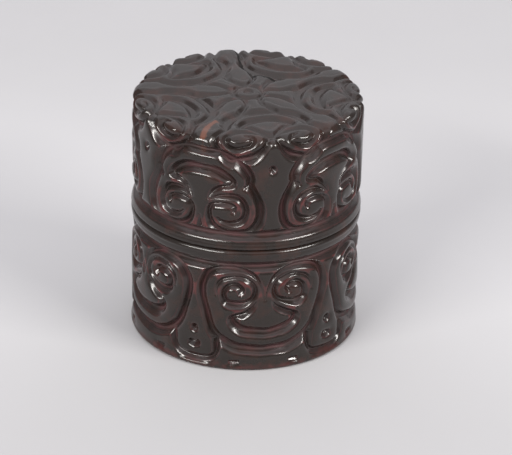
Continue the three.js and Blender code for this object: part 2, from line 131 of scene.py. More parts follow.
# On the lid's top each volute runs on round a small boss
TOP_VOLUTE_GROOVE = [
    (0.6, 8.2, 2.4), (2.6, 10, 2), (5.6, 11.8, 1.9), (9, 13.1, 1.9), (12.6, 13.5, 2), (16, 12.6, 2),
    (18.3, 10.2, 1.9), (18.7, 7.2, 1.9), (17, 4.4, 2), (13.7, 3.2, 2.1), (10.4, 3.9, 1.9), (8.3, 6, 1.7),
    (8.6, 8.3, 1.4), (10.6, 9.4, 1),
]
TOP_MOTIF = [OUTLINE_GROOVE, NOTCH_GROOVE, CROWN_GROOVE, TOP_VOLUTE_GROOVE]
TOP_MOTIF_FOOT = 48.5
TOP_MOTIF_SCALE = 0.929
TOP_WIDENING = 0.3

# Where the lid's motif starts, the turned channel as (height, half width), the angle of one motif's axis, and
# the dimple between two motifs
LID_MOTIF_FOOT = 60.7
LID_CHANNEL = (58.1, 2.4)
LID_AXIS = math.radians(-23.2)
LID_DIMPLE = [(28.27, 85.2, 1.6)]

# The middle of the lid's top, as points (across from a motif's axis, out from the centre, half width)
ROSETTE_GROOVE = [
    (7.4, 19.8, 2.4), (6, 17.2, 2.2), (4.5, 14.9, 1.9), (3.3, 12.4, 1.7), (2.9, 9.8, 1.6), (3, 7.6, 1.6),
    (3.4, 5.6, 1.7),
]

# Rings round the centre, as (radius, half width)
ROSETTE_RINGS = [(5.8, 1.8), (1.1, 1.3)]

# Half of the base's motif, which hangs upside down, as points (across, height, half width)
BASE_MOTIF = [
    [
        (0, 8.7, 2.3), (5, 8.85, 2.35), (9, 9.4, 2.4), (13, 10.6, 2.45), (16.6, 12.3, 2.5), (19, 14.5, 2.4),
        (20.8, 17.2, 2.25), (22, 20.3, 2.2), (23.2, 24, 2.1), (24.4, 27.4, 2.1), (25.4, 31.5, 2.2),
        (25.4, 35.8, 2.2), (23.6, 40, 2.1), (20.3, 42.6, 2.2), (15.6, 43.6, 2.3), (10.4, 43.4, 2.3),
        (6.1, 41.7, 1.9), (3.9, 40.1, 1.5), (2.2, 37.6, 1), (1.2, 35, 0.8), (0.6, 32.6, 0.6), (0.3, 30.8, 0.25),
    ],
    [
        (19.4, 32.5, 0.2), (19, 36.2, 1), (16.6, 38.9, 1.3), (12.6, 40, 1.3), (8.4, 39.8, 1.4),
        (5.4, 38.2, 1.5), (3.9, 35.6, 1.6), (3.9, 33, 1.7), (5.1, 30.8, 1.7), (7.3, 29.3, 1.8), (10, 28.5, 2),
        (12.8, 28.4, 2.1), (15.3, 29.3, 1.9), (16.6, 31.3, 1.7), (16.4, 33.9, 1.6), (15, 35.8, 1.6),
        (12.6, 36.7, 1.7), (10.2, 36.1, 1.7), (8.9, 34.5, 1.4), (9.6, 33.2, 1),
    ],
    [
        (0, 16.4, 2.3), (4.7, 16.7, 2.4), (8.5, 17.6, 2.5), (11.8, 19.6, 2.3), (13, 21.8, 2), (11.6, 23.4, 1.6),
        (8.6, 24.6, 1.5), (6.2, 26.1, 1.5), (4.3, 27.9, 1.2), (3.3, 29.6, 0.6),
    ],
    [
        (28.3, 3.6, 1.4), (25.3, 3.8, 1.4), (22.8, 4.3, 1.4), (20.7, 5.3, 1.4), (19.5, 6.9, 1.5), (19, 9, 1.9),
        (18.6, 12, 2.3),
    ],
    [(26.9, 9.4, 1.5), (28.3, 9.2, 1.7)],
    [(10.2, 3.8, 0.45), (13.2, 3.6, 0.7)],
]
BASE_CHANNEL = (44.8, 2.2)
BASE_AXIS = math.radians(10.6)
BASE_DIMPLE = [(28.27, 16.2, 1.8)]

# Marks on the lid's top, as (x, y) points: a crack with age, and a crest that is worn through to the warm layers
AGE_CRACK = [(-6, 42), (-4, 34), (-2.5, 25), (0, 18.8), (3, 16), (7, 13.7), (11.5, 12.2)]
WORN_CREST = [(-12, -29), (-14.8, -34), (-16.4, -40)]


def linear(hex_colour):
    """A colour written as sRGB hex, as the linear RGB that shaders take."""
    channels = [int(hex_colour[i:i + 2], 16) / 255 for i in (0, 2, 4)]
    return [c / 12.92 if c <= 0.04045 else ((c + 0.055) / 1.055) ** 2.4 for c in channels]


def smoothstep(low, high, x):
    share = np.clip((x - low) / (high - low), 0, 1)
    return share * share * (3 - 2 * share)


def linked(name, data):
    """A new object in the scene."""
    made = bpy.data.objects.new(name, data)
    bpy.context.scene.collection.objects.link(made)
    return made


def evaluated_mesh(source):
    """The plain mesh that an object's modifiers make, in the object's stead."""
    result = bpy.data.meshes.new_from_object(source.evaluated_get(bpy.context.evaluated_depsgraph_get()))
    bpy.data.objects.remove(source)
    return result


def store(mesh, name, values):
    """Writes a number for each of a mesh's points."""
    mesh.attributes.new(name, "FLOAT", "POINT").data.foreach_set("value", values.astype(np.float32))


# Outlines of turned forms


class Outline:
    """A turned form's outline in the plane of radius and height, in millimetres, sampled along its length."""

    def __init__(self, corners, closed):
        """Each corner is (radius, height, rounding, spacing of the points up to the next corner)."""
        places = [np.array(c[:2], float) for c in corners]
        count = len(corners)
        points = []
        for i, (_, _, rounding, spacing) in enumerate(corners):
            here = places[i]
            at_end = not closed and i in (0, count - 1)
            if at_end or rounding == 0:
                arc = [here]
            else:
                arc = self.corner_arc(places[i - 1], here, places[(i + 1) % count], rounding)
            if points:
                points += self.straight(points[-1], arc[0], last_spacing)
            points += arc
            last_spacing = spacing
        if closed:
            points += self.straight(points[-1], points[0], last_spacing) + [points[0]]
        self.points = np.array(points)
        steps = np.diff(self.points, axis=0)
        lengths = np.hypot(*steps.T)
        self.along = np.concatenate([[0], np.cumsum(lengths)])
        tangents = steps / lengths[:, None]
        joined = np.vstack([tangents[:1], tangents[:-1] + tangents[1:], tangents[-1:]])
        if closed:
            joined[0] = joined[-1] = tangents[0] + tangents[-1]
        self.tangents = joined / np.hypot(*joined.T)[:, None]

    @staticmethod
    def corner_arc(before, here, after, rounding):
        a = (before - here) / np.linalg.norm(before - here)
        b = (after - here) / np.linalg.norm(after - here)
        half = math.acos(np.clip(a @ b, -1, 1)) / 2
        centre = here + (a + b) / np.linalg.norm(a + b) * rounding / math.sin(half)
        start, end = here + a * rounding / math.tan(half), here + b * rounding / math.tan(half)
        first = math.atan2(*(start - centre)[::-1])
        turn = math.remainder(math.atan2(*(end - centre)[::-1]) - first, 2 * math.pi)
        steps = max(4, round(abs(turn) * rounding / ARC_SPACING))
        angles = first + turn * np.arange(steps + 1) / steps
        return list(centre + rounding * np.stack([np.cos(angles), np.sin(angles)], -1))

    @staticmethod
    def straight(start, end, spacing):
        """The points between two others. A widely spaced run has one close to each end, so that it shades flat."""
        length = np.linalg.norm(end - start)
        if length < 4 * spacing:
            shares = [0.15, 0.85] if length > 0.5 else []
        else:
            inner = np.linspace(0, 1, max(2, round(length / spacing)) + 1)[1:-1]
            shares = [0.2 * inner[0], *inner, 1 - 0.2 * inner[0]] if spacing > 0.5 else inner
        return [start + (end - start) * s for s in shares]

    def at(self, along):
        """Points and unit tangents at distances along the outline."""
        point = np.stack([np.interp(along, self.along, self.points[:, k]) for k in (0, 1)], -1)
        tangent = np.stack([np.interp(along, self.along, self.tangents[:, k]) for k in (0, 1)], -1)
        return point, tangent / np.hypot(*tangent.T)[:, None]


# Grooves as a raster of how far the tool would cut

# A groove's depth for each millimetre of its half width, and how blunt its bottom is
GROOVE_SLOPE = 1.5
GROOVE_BLUNTNESS = 0.2

# The raster's spacing, and how far past a groove's edge it holds true distances
RASTER_STEP = 0.1
REACH = 2.4
UNCUT = -GROOVE_SLOPE * REACH


def smooth_path(points, step=0.14):
    """Samples of a centripetal Catmull-Rom curve through (x, y, half width) points."""
    path = np.array(points, float)
    if len(path) == 1:
        return path
    path = np.vstack([2 * path[0] - path[1], path, 2 * path[-1] - path[-2]])
    samples = []
    for p0, p1, p2, p3 in zip(path, path[1:], path[2:], path[3:]):
        knots = [0.0]
        for a, b in ((p0, p1), (p1, p2), (p2, p3)):
            knots.append(knots[-1] + max(math.dist(a[:2], b[:2]) ** 0.5, 1e-4))
        t0, t1, t2, t3 = knots
        count = max(2, int(math.dist(p1[:2], p2[:2]) / step) + 1)
        t = np.linspace(t1, t2, count, endpoint=False)[:, None]
        a1 = ((t1 - t) * p0 + (t - t0) * p1) / (t1 - t0)
        a2 = ((t2 - t) * p1 + (t - t1) * p2) / (t2 - t1)
        a3 = ((t3 - t) * p2 + (t - t2) * p3) / (t3 - t2)
        b1 = ((t2 - t) * a1 + (t - t0) * a2) / (t2 - t0)
        b2 = ((t3 - t) * a2 + (t - t1) * a3) / (t3 - t1)
        samples.append(((t2 - t) * b1 + (t - t1) * b2) / (t2 - t1))
    return np.vstack(samples + [path[-2:-1]])


def groove_cut(half_width, square_distance):
    """How far a groove with a blunt V-shaped section cuts at a distance from its middle."""
    blunt = GROOVE_BLUNTNESS ** 2
    return GROOVE_SLOPE * (np.sqrt(half_width ** 2 + blunt) - np.sqrt(square_distance + blunt))


class CutRaster:
    """How far below the surface the grooves cut, where what is uncut is below zero."""

    def __init__(self, x_range, y_range):
        self.x0, self.y0 = x_range[0], y_range[0]
        self.xs = np.arange(x_range[0], x_range[1], RASTER_STEP)
        self.ys = np.arange(y_range[0], y_range[1], RASTER_STEP)
        self.values = np.full((len(self.ys), len(self.xs)), UNCUT)

    def cut(self, samples):
        for x, y, half_width in samples:
            reach = half_width + REACH
            i0, i1 = np.searchsorted(self.ys, (y - reach, y + reach))
            j0, j1 = np.searchsorted(self.xs, (x - reach, x + reach))
            if i0 == i1 or j0 == j1:
                continue
            square_distance = (self.xs[j0:j1] - x) ** 2 + (self.ys[i0:i1, None] - y) ** 2
            patch = self.values[i0:i1, j0:j1]
            np.maximum(patch, groove_cut(half_width, square_distance), out=patch)

    def soften(self, reach):
        """Rounds narrow crests over a distance in millimetres, as rubbing down does, and leaves grooves sharp."""
        rounded = blurred(blurred(self.values, reach / RASTER_STEP, 0), reach / RASTER_STEP, 1)
        self.values = np.maximum(self.values, rounded)

    def at(self, x, y):
        fx = np.clip((x - self.x0) / RASTER_STEP, 0, len(self.xs) - 1.001)
        fy = np.clip((y - self.y0) / RASTER_STEP, 0, len(self.ys) - 1.001)
        j, i = fx.astype(int), fy.astype(int)
        fx, fy = fx - j, fy - i
        v = self.values
        low = v[i, j] * (1 - fx) + v[i, j + 1] * fx
        high = v[i + 1, j] * (1 - fx) + v[i + 1, j + 1] * fx
        return low * (1 - fy) + high * fy


def blurred(values, sigma, axis):
    """A Gaussian blur along one axis of a grid that mirrors at its ends."""
    radius = int(3 * sigma) + 1
    weights = np.exp(-0.5 * (np.arange(-radius, radius + 1) / sigma) ** 2)
    weights /= weights.sum()
    pads = [(radius, radius) if k == axis else (0, 0) for k in (0, 1)]
    padded = np.pad(values, pads, mode="symmetric")
    size = values.shape[axis]
    return sum(w * np.take(padded, range(k, k + size), axis) for k, w in enumerate(weights))


# Coats of lacquer, carved through

# The hand's wander is a sum of this many waves, with lengths between these
WAVES = 14
WAVE_LENGTHS = (9, 26)

# A face counts as uncut up to the first of these depths, and as cut from the second on. A crest is rubbed
# through where little of what lies within reach is uncut, from the first share down to the second, and less
# so the deeper its own slope is cut.
UNCUT_DEPTHS = (0.35, 1)
WEAR_REACH = 1.35
WORN_SHARES = (0.45, 0.15)
WORN_DEPTHS = (0.7, 1.6)

# How softly the deepest cut is held, how close to the axis a face points straight along it, and how close a
# point is taken to lie on it
BOTTOM_SOFTNESS = 0.02
NEAR_AXIS = 0.3
ON_AXIS = 0.02

# How far to each side of a point its normal is taken from
NORMAL_STEP = 0.07


class CarvedCoat:
    """A turned coat of lacquer with the motif cut into its outer face. Its half cell spans 36 degrees."""

    def __init__(self, outline, closed, axis_angle, settings):
        self.outline = Outline(outline, closed)
        self.axis_angle = axis_angle
        self.settings = settings
        rng = np.random.default_rng(settings.wander_seed)
        directions = rng.normal(size=(WAVES, 3))
        directions /= np.linalg.norm(directions, axis=1)[:, None]
        self.waves = directions * (2 * math.pi / rng.uniform(*WAVE_LENGTHS, WAVES))[:, None]
        self.phases = rng.uniform(0, 2 * math.pi, WAVES)
        self.swings = rng.normal(size=(WAVES, 3)) / math.sqrt(WAVES / 2)

    def cut_side(self, grooves, heights):
        """Fills the side's raster with grooves, mirrored about both edges of the half cell."""
        width = HALF_CELL * COAT_RADIUS
        self.side = CutRaster((-1, width + 1), heights)
        for groove in grooves:
            samples = smooth_path(groove)
            for sign, shift in ((1, 0), (-1, 0), (-1, 2 * width)):
                self.side.cut(samples * (sign, 1, 1) + (shift, 0, 0))
        self.side.soften(self.settings.crest_softness / MM)

    def tool_cut(self, angle, along):
        """How far the tool would cut at an angle from the motif's axis, below zero where it would not."""
        raise NotImplementedError

    def free_to_cut(self, along):
        """Where grooves may cut, as a share."""
        raise NotImplementedError

    def free_to_wander(self, along):
        """Where the hand's wander shows, as a share."""
        raise NotImplementedError

    def relief(self, along):
        """How deep and how soft the grooves are, as a share of what is usual."""
        return 1

    def depth(self, angle, along):
        folded = np.abs((angle + HALF_CELL) % (2 * HALF_CELL) - HALF_CELL)
        cut = self.tool_cut(folded, along)
        relief = self.relief(along)
        soft = self.settings.edge_softness / MM * relief
        deepest = self.settings.deepest_cut / MM
        depth = (cut + np.sqrt(cut * cut + soft * soft)) / 2
        over = deepest - depth
        depth = deepest - (over + np.sqrt(over * over + BOTTOM_SOFTNESS)) / 2
        return np.maximum(depth, 0) * relief * self.free_to_cut(along)

    def place(self, angle, along, depth):
        """The points at these depths below the outline's face."""
        (radius, height), (t_r, t_z) = (a.T for a in self.outline.at(along))
        inward_r, inward_z = t_z, -t_r
        r, z = radius + inward_r * depth, height + inward_z * depth
        return np.stack([r * np.sin(angle), -r * np.cos(angle), z], -1)

    def wandered(self, angle, along):
        """Where the hand cut what was meant for a place."""
        (radius, height), (t_r, t_z) = (a.T for a in self.outline.at(along))
        sin, cos = np.sin(angle), np.cos(angle)
        points = np.stack([radius * sin, -radius * cos, height], -1)
        drift = np.sin(points @ self.waves.T + self.phases) @ self.swings
        drift *= (self.settings.wander / MM * self.free_to_wander(along))[:, None]
        drift_along = (drift[:, 0] * sin - drift[:, 1] * cos) * t_r + drift[:, 2] * t_z
        drift_round = drift[:, 0] * cos + drift[:, 1] * sin
        return angle + drift_round / np.maximum(radius, 1), along + drift_along

    def face(self, angle, along):
        """The carved face's point, with the hand's wander."""
        depth = self.depth(angle - self.axis_angle, along)
        return self.place(*self.wandered(angle, along), depth)

    def half_cell(self):
        """The half cell's grid as a mesh. Attributes carry the place along the outline and the wear."""
        columns = round(HALF_CELL * COAT_RADIUS / (self.settings.grid_spacing / MM)) + 1
        along = self.outline.along
        angles = np.linspace(0, HALF_CELL, columns)
        grid_angle, grid_along = np.meshgrid(angles, along)
        depth = self.depth(grid_angle.ravel(), grid_along.ravel())
        points = self.place(grid_angle.ravel(), grid_along.ravel(), depth) * MM
        depth = depth.reshape(grid_angle.shape)
        uncut = 1 - smoothstep(*UNCUT_DEPTHS, depth)
        sigma = WEAR_REACH / (self.settings.grid_spacing / MM)
        flatness = blurred(blurred(uncut, sigma, 0), sigma, 1)
        wear = smoothstep(*WORN_SHARES, flatness) * (1 - smoothstep(*WORN_DEPTHS, depth))
        ids = np.arange(depth.size).reshape(depth.shape)
        radius = self.outline.points[:, 0]
        ids[radius < 1e-6] = ids[radius < 1e-6][:, :1]
        if np.allclose(self.outline.points[0], self.outline.points[-1]):
            ids[-1] = ids[0]
        faces = []
        quads = np.stack([ids[:-1, :-1], ids[1:, :-1], ids[1:, 1:], ids[:-1, 1:]], -1)
        for a, b, c, d in quads.reshape(-1, 4):
            corners = [a] + [q for p, q in ((a, b), (b, c), (c, d)) if q != p]
            if corners[-1] == corners[0]:
                corners.pop()
            if len(corners) > 2:
                faces.append(corners)
        used = np.unique(ids)
        renumbered = np.zeros(ids.size, int)
        renumbered[used] = np.arange(len(used))
        mesh = bpy.data.meshes.new("half_cell")
        mesh.from_pydata(points[used], [], [[int(renumbered[k]) for k in f] for f in faces])
        store(mesh, "along", grid_along.ravel()[used])
        store(mesh, "wear", wear.ravel()[used])
        return mesh

    def thinned(self, mesh):
        """The half cell with as few triangles as the budget allows, and its two side edges in their planes."""
        cell = linked("half_cell", mesh)
        triangles = sum(len(p.vertices) - 2 for p in mesh.polygons)
        thin = cell.modifiers.new("thin", "DECIMATE")
        thin.ratio = self.settings.triangle_budget / (2 * REPEATS) / triangles
        thin.use_collapse_triangulate = True
        result = evaluated_mesh(cell)
        edge_faces = {}
        for polygon in result.polygons:
            for key in polygon.edge_keys:
                edge_faces[key] = edge_faces.get(key, 0) + 1
        rim = {v for key, count in edge_faces.items() if count == 1 for v in key}
        for i in rim:
            co = result.vertices[i].co
            radius, angle = math.hypot(co.x, co.y), math.atan2(co.x, -co.y)
            angle = 0 if angle < HALF_CELL / 2 else HALF_CELL
            if radius < ON_AXIS * MM:
                radius = 0
            co.x, co.y = radius * math.sin(angle), -radius * math.cos(angle)
        return result

    def finish(self, mesh):
        """Adds the hand's wander, the depth below the face and the shading normals to the whole coat."""
        count = len(mesh.vertices)
        co = np.zeros(count * 3)
        mesh.vertices.foreach_get("co", co)
        co = co.reshape(-1, 3) / MM
        along = np.zeros(count, np.float32)
        mesh.attributes["along"].data.foreach_get("value", along)
        along = along.astype(float)
        angle = np.arctan2(co[:, 0], -co[:, 1])
        flat = np.stack([np.hypot(co[:, 0], co[:, 1]), co[:, 2]], -1)

        # Thinning moves points off the outline's own, so each finds its nearest place along it again
        for _ in range(8):
            point, tangent = self.outline.at(along)
            along = along + np.clip(((flat - point) * tangent).sum(1), -0.5, 0.5)
        point, tangent = self.outline.at(along)
        inward = np.stack([tangent[:, 1], -tangent[:, 0]], -1)
        cut = ((flat - point) * inward).sum(1)
        placed = self.place(*self.wandered(angle, along), cut) * MM

        # The normals come from the carved face itself, not from its triangles
        turn = NORMAL_STEP / np.maximum(flat[:, 0], NEAR_AXIS)
        ahead, behind = self.face(angle, along + NORMAL_STEP), self.face(angle, along - NORMAL_STEP)
        left, right = self.face(angle - turn, along), self.face(angle + turn, along)
        normal = np.cross(ahead - behind, right - left)
        normal /= np.linalg.norm(normal, axis=1)[:, None] + 1e-12
        on_axis = flat[:, 0] < NEAR_AXIS
        normal[on_axis] = tangent[on_axis, :1] * (0, 0, 1)
        mesh.vertices.foreach_set("co", placed.astype(np.float32).ravel())
        store(mesh, "lacquer_depth", self.depth(angle - self.axis_angle, along))
        mesh.attributes.remove(mesh.attributes["along"])
        mesh.update()
        mesh.normals_split_custom_set_from_vertices([tuple(n) for n in normal])


class LidCoat(CarvedCoat):
    """The lid's coat: the motif climbs its side, and five more run inwards over its top."""

    # The heights that the side's raster spans, and the ranges across and along the axis that the top's does
    side_span = (52, 98)
    top_spans = ((-2, 34), (-6, 57))

    # Above this height only the top's grooves cut, and past this distance from the middle only the side's do
    side_stop = 97.5
    top_stop = 56

    # The top's relief, as a share of the side's
    top_relief = 0.62

    def __init__(self, settings):
        fine = settings.grid_spacing / MM
        super().__init__(
            [
                (0, TOP_HEIGHT, 0, fine),
                (COAT_RADIUS, TOP_HEIGHT, SHOULDER_RADIUS, fine),
                (COAT_RADIUS, MOUTH_HEIGHT, 0.8, 2),
                (LID_LIP_RADIUS, MOUTH_HEIGHT, 0.15, 2),
                (LID_LIP_RADIUS, MOUTH_HEIGHT + LIP_THICKNESS, 0.15, 2),
                (COAT_INNER_RADIUS, MOUTH_HEIGHT + LIP_THICKNESS, 0.15, 3),
                (COAT_INNER_RADIUS, COAT_CEILING, 0.3, 3),
                (0, COAT_CEILING, 0, 3),
            ],
            False, LID_AXIS, settings,
        )
        shoulder_end = COAT_RADIUS - SHOULDER_RADIUS + SHOULDER_RADIUS * math.pi / 2
        self.height_from = TOP_HEIGHT - SHOULDER_RADIUS + shoulder_end
        self.side_end = self.height_from - MOUTH_HEIGHT
        motif = [[(u, LID_MOTIF_FOOT + t, w) for u, t, w in groove] for groove in LID_MOTIF]
        self.cut_side(motif + [LID_DIMPLE], self.side_span)
        self.top = CutRaster(*self.top_spans)
        for groove in TOP_MOTIF:
            samples = smooth_path(groove)

            # A top motif starts on the shoulder, runs inwards, and gets narrower towards the middle
            out = TOP_MOTIF_FOOT - TOP_MOTIF_SCALE * samples[:, 1]
            across = samples[:, 0] * (0.77 + 0.16 * smoothstep(29, 38, out))
            wider = 1 + TOP_WIDENING * (1 - smoothstep(25, 34, out))
            self.cut_top(np.stack([across, out, samples[:, 2] * wider], -1))
        self.cut_top(smooth_path(ROSETTE_GROOVE))
        turns = np.linspace(0, 2 * math.pi, 200)
        for ring, half_width in ROSETTE_RINGS:
            self.cut_top(np.stack([ring * np.sin(turns), ring * np.cos(turns), half_width + 0 * turns], -1))
        self.top.soften(settings.crest_softness / MM)

    def cut_top(self, samples):
        """Cuts samples given from a top motif's axis, and their mirror images about the half cell's edges."""
        double = 2 * HALF_CELL
        turned_x = samples[:, 1] * math.sin(double) - samples[:, 0] * math.cos(double)
        turned_y = samples[:, 1] * math.cos(double) + samples[:, 0] * math.sin(double)
        self.top.cut(samples)
        self.top.cut(samples * (-1, 1, 1))
        self.top.cut(np.stack([turned_x, turned_y, samples[:, 2]], -1))

    def tool_cut(self, angle, along):
        height = self.height_from - along
        from_top_axis = HALF_CELL - angle
        side = self.side.at(angle * COAT_RADIUS, height)
        side = np.where(height > self.side_stop, UNCUT, side)
        top = self.top.at(along * np.sin(from_top_axis), along * np.cos(from_top_axis))
        top = np.where(along > self.top_stop, UNCUT, top)
        middle, half_width = LID_CHANNEL
        return np.maximum(np.maximum(side, top), groove_cut(half_width, (height - middle) ** 2))

    def free_to_cut(self, along):
        return 1 - smoothstep(self.side_end - 2, self.side_end - 0.8, along)

    def free_to_wander(self, along):
        height = self.height_from - along
        return smoothstep(59, 64, height) * smoothstep(3, 10, along)

    def relief(self, along):
        return self.top_relief + (1 - self.top_relief) * smoothstep(42, 52, along)


class BaseCoat(CarvedCoat):
    """The base's coat: the motif hangs upside down between the rim band and the foot."""

    # The heights that the side's raster spans, and the height from which its cut stays the same
    side_span = (0, 48)
    side_stop = 47.8

    def __init__(self, settings):
        fine = settings.grid_spacing / MM
        super().__init__(
            [
                (SEAT_LIP_RADIUS, SEAT_HEIGHT, 0.15, 2),
                (COAT_RADIUS, SEAT_HEIGHT, 1.9, fine),
                (COAT_RADIUS, 0, FOOT_EDGE_RADIUS, 2),
                (FOOT_RING_RADIUS, 0, 0.3, 1),
                (FOOT_RING_RADIUS, FOOT_FLANGE, 0.15, 2),
                (COAT_INNER_RADIUS, FOOT_FLANGE, 0.3, 3),
                (COAT_INNER_RADIUS, SEAT_HEIGHT - LIP_THICKNESS, 0.3, 2),
                (SEAT_LIP_RADIUS, SEAT_HEIGHT - LIP_THICKNESS, 0.15, 1),
            ],
            True, BASE_AXIS, settings,
        )
        self.cut_side(BASE_MOTIF + [BASE_DIMPLE], self.side_span)
        (radius, height), _ = (a.T for a in self.outline.at(self.outline.along))
        wall = (radius > COAT_RADIUS - 1e-6) & (height > FOOT_EDGE_RADIUS)
        self.height_from = self.outline.along[wall][0] + height[wall][0]

    def tool_cut(self, angle, along):
        height = self.height_from - along
        side = self.side.at(angle * COAT_RADIUS, np.minimum(height, self.side_stop))
        middle, half_width = BASE_CHANNEL
        return np.maximum(side, groove_cut(half_width, (height - middle) ** 2))

    def free_to_cut(self, along):
        height = self.height_from - along
        return smoothstep(1.2, 2.4, height) * (1 - smoothstep(49.5, 50.2, height))

    def free_to_wander(self, along):
        height = self.height_from - along
        return smoothstep(1.5, 6, height) * (1 - smoothstep(39, 44, height))


# Node helpers

# Points of a carved coat and of a plain turned form are welded where they are closer than this
COAT_WELD = 0.005
TURNED_WELD = 0.004


def wire(tree, node, inputs):
    """Sets inputs by name or number. Each is a value, an output, or a node whose first output is meant."""
    for key, value in dict(inputs).items():
        if isinstance(value, bpy.types.Node):
            value = value.outputs[0]
        if isinstance(value, bpy.types.NodeSocket):
            tree.links.new(value, node.inputs[key])
        else:
            node.inputs[key].default_value = value


def add(tree, kind, inputs=(), **settings):
    """Adds a node with its settings and its inputs."""
    node = tree.nodes.new(kind)
    for name, value in settings.items():
        setattr(node, name, value)
    wire(tree, node, inputs)
    return node


def math_of(tree, operation, *values):
    """The result of a math node."""
    return add(tree, "ShaderNodeMath", enumerate(values), operation=operation).outputs[0]


def vector_of(tree, operation, first, second):
    """The result of a vector math node on two values."""
    key = "Scale" if operation == "SCALE" else 1
    node = add(tree, "ShaderNodeVectorMath", {0: first, key: second}, operation=operation)
    return node.outputs["Value" if operation in ("DOT_PRODUCT", "DISTANCE") else "Vector"]


def new_tree(name, inputs):
    """A Geometry Nodes tree with a geometry input, these named inputs and a geometry output."""
    tree = bpy.data.node_groups.new(name, "GeometryNodeTree")
    tree.interface.new_socket(name="Geometry", in_out="INPUT", socket_type="NodeSocketGeometry")
    tree.interface.new_socket(name="Geometry", in_out="OUTPUT", socket_type="NodeSocketGeometry")
    for label, kind in inputs.items():
        tree.interface.new_socket(name=label, in_out="INPUT", socket_type="NodeSocket" + kind)
    return tree, add(tree, "NodeGroupInput").outputs


def repeat_tree():
    """Mirrors a half cell, repeats the pair round the axis and welds the seams."""
    tree, given = new_tree("Repeat Round Axis", {
        "Repeats": "Int", "Start Angle": "Float", "Weld Distance": "Float", "Material": "Material",
    })
    mirrored = add(tree, "GeometryNodeTransform", {"Geometry": given["Geometry"], "Scale": (-1, 1, 1)})
    outward = add(tree, "GeometryNodeFlipFaces", {"Mesh": mirrored})
    pair = add(tree, "GeometryNodeJoinGeometry")
    tree.links.new(given["Geometry"], pair.inputs[0])
    tree.links.new(outward.outputs[0], pair.inputs[0])
    points = add(tree, "GeometryNodePoints", {"Count": given["Repeats"]})
    share = math_of(tree, "DIVIDE", 2 * math.pi, given["Repeats"])
    turn = math_of(tree, "MULTIPLY_ADD", add(tree, "GeometryNodeInputIndex"), share, given["Start Angle"])
    placed = add(tree, "GeometryNodeInstanceOnPoints", {
        "Points": points, "Instance": pair, "Rotation": add(tree, "ShaderNodeCombineXYZ", {"Z": turn}),
    })
    realized = add(tree, "GeometryNodeRealizeInstances", {"Geometry": placed})
    welded = add(tree, "GeometryNodeMergeByDistance", {"Geometry": realized, "Distance": given["Weld Distance"]})
    shaded = add(tree, "GeometryNodeSetMaterial", {"Geometry": welded, "Material": given["Material"]})
    add(tree, "NodeGroupOutput", {"Geometry": shaded})
    return tree


def turn_tree():
    """Turns a line of points, given as radius along X and height along Z, into a closed form round the axis."""
    tree, given = new_tree("Turn Round Axis", {
        "Segments": "Int", "Points": "Int", "Weld Distance": "Float", "Material": "Material",
    })
    columns = math_of(tree, "ADD", given["Segments"], 1)
    grid = add(tree, "GeometryNodeMeshGrid", {
        "Size X": 1, "Size Y": 1, "Vertices X": columns, "Vertices Y": given["Points"],
    })
    place = add(tree, "ShaderNodeSeparateXYZ", {0: add(tree, "GeometryNodeInputPosition")}).outputs
    row_share = math_of(tree, "ADD", place["Y"], 0.5)
    row = math_of(tree, "MULTIPLY", row_share, math_of(tree, "SUBTRACT", given["Points"], 1))
    sampled = add(tree, "GeometryNodeSampleIndex", {"Geometry": given["Geometry"]},
                  data_type="FLOAT_VECTOR", domain="POINT")
    wire(tree, sampled, {
        "Value": add(tree, "GeometryNodeInputPosition"), "Index": math_of(tree, "ROUND", row),
    })
    point = add(tree, "ShaderNodeSeparateXYZ", {0: sampled}).outputs
    angle = math_of(tree, "MULTIPLY", place["X"], 2 * math.pi)
    target = add(tree, "ShaderNodeCombineXYZ", {
        "X": math_of(tree, "MULTIPLY", point["X"], math_of(tree, "SINE", angle)),
        "Y": math_of(tree, "MULTIPLY", point["X"], math_of(tree, "COSINE", angle)),
        "Z": point["Z"],
    })
    moved = add(tree, "GeometryNodeSetPosition", {"Geometry": grid, "Position": target})
    welded = add(tree, "GeometryNodeMergeByDistance", {"Geometry": moved, "Distance": given["Weld Distance"]})
    smooth = add(tree, "GeometryNodeSetShadeSmooth", {"Geometry": welded, "Shade Smooth": True})
    realized = add(tree, "GeometryNodeRealizeInstances", {"Geometry": smooth})
    shaded = add(tree, "GeometryNodeSetMaterial", {"Geometry": realized, "Material": given["Material"]})
    add(tree, "NodeGroupOutput", {"Geometry": shaded})
    return tree


def grown(name, mesh, tree, values):
    """A new object with the plain mesh that a tree makes from another mesh."""
    source = linked(name + "_source", mesh)
    modifier = source.modifiers.new("nodes", "NODES")
    modifier.node_group = tree
    for item in tree.interface.items_tree:
        if item.in_out == "INPUT" and item.name in values:
            modifier[item.identifier] = values[item.name]
    result = evaluated_mesh(source)
    result.name = name
    return linked(name, result)


# Materials


def new_material(name):
    """A material with its surface shader, joined to its output, and the piece's own coordinates."""
    material = bpy.data.materials.new(name)
    material.use_nodes = True
    tree = material.node_tree
    tree.nodes.clear()
    shader = add(tree, "ShaderNodeBsdfPrincipled")
    add(tree, "ShaderNodeOutputMaterial", {"Surface": shader})
    return material, tree, shader, add(tree, "ShaderNodeTexCoord").outputs["Object"]


def mapped(tree, value, low, high, to_low=0, to_high=1):
    """A value mapped from one range to another, and held within it."""
    return add(tree, "ShaderNodeMapRange", {
        "Value": value, "From Min": low, "From Max": high, "To Min": to_low, "To Max": to_high,
    }).outputs[0]


def noise(tree, place, size, detail, roughness=0.5):
    """A noise node with features this many millimetres across, on metre coordinates."""
    return add(tree, "ShaderNodeTexNoise", {
        "Vector": place, "Scale": 1 / (size * MM), "Detail": detail, "Roughness": roughness,
    })


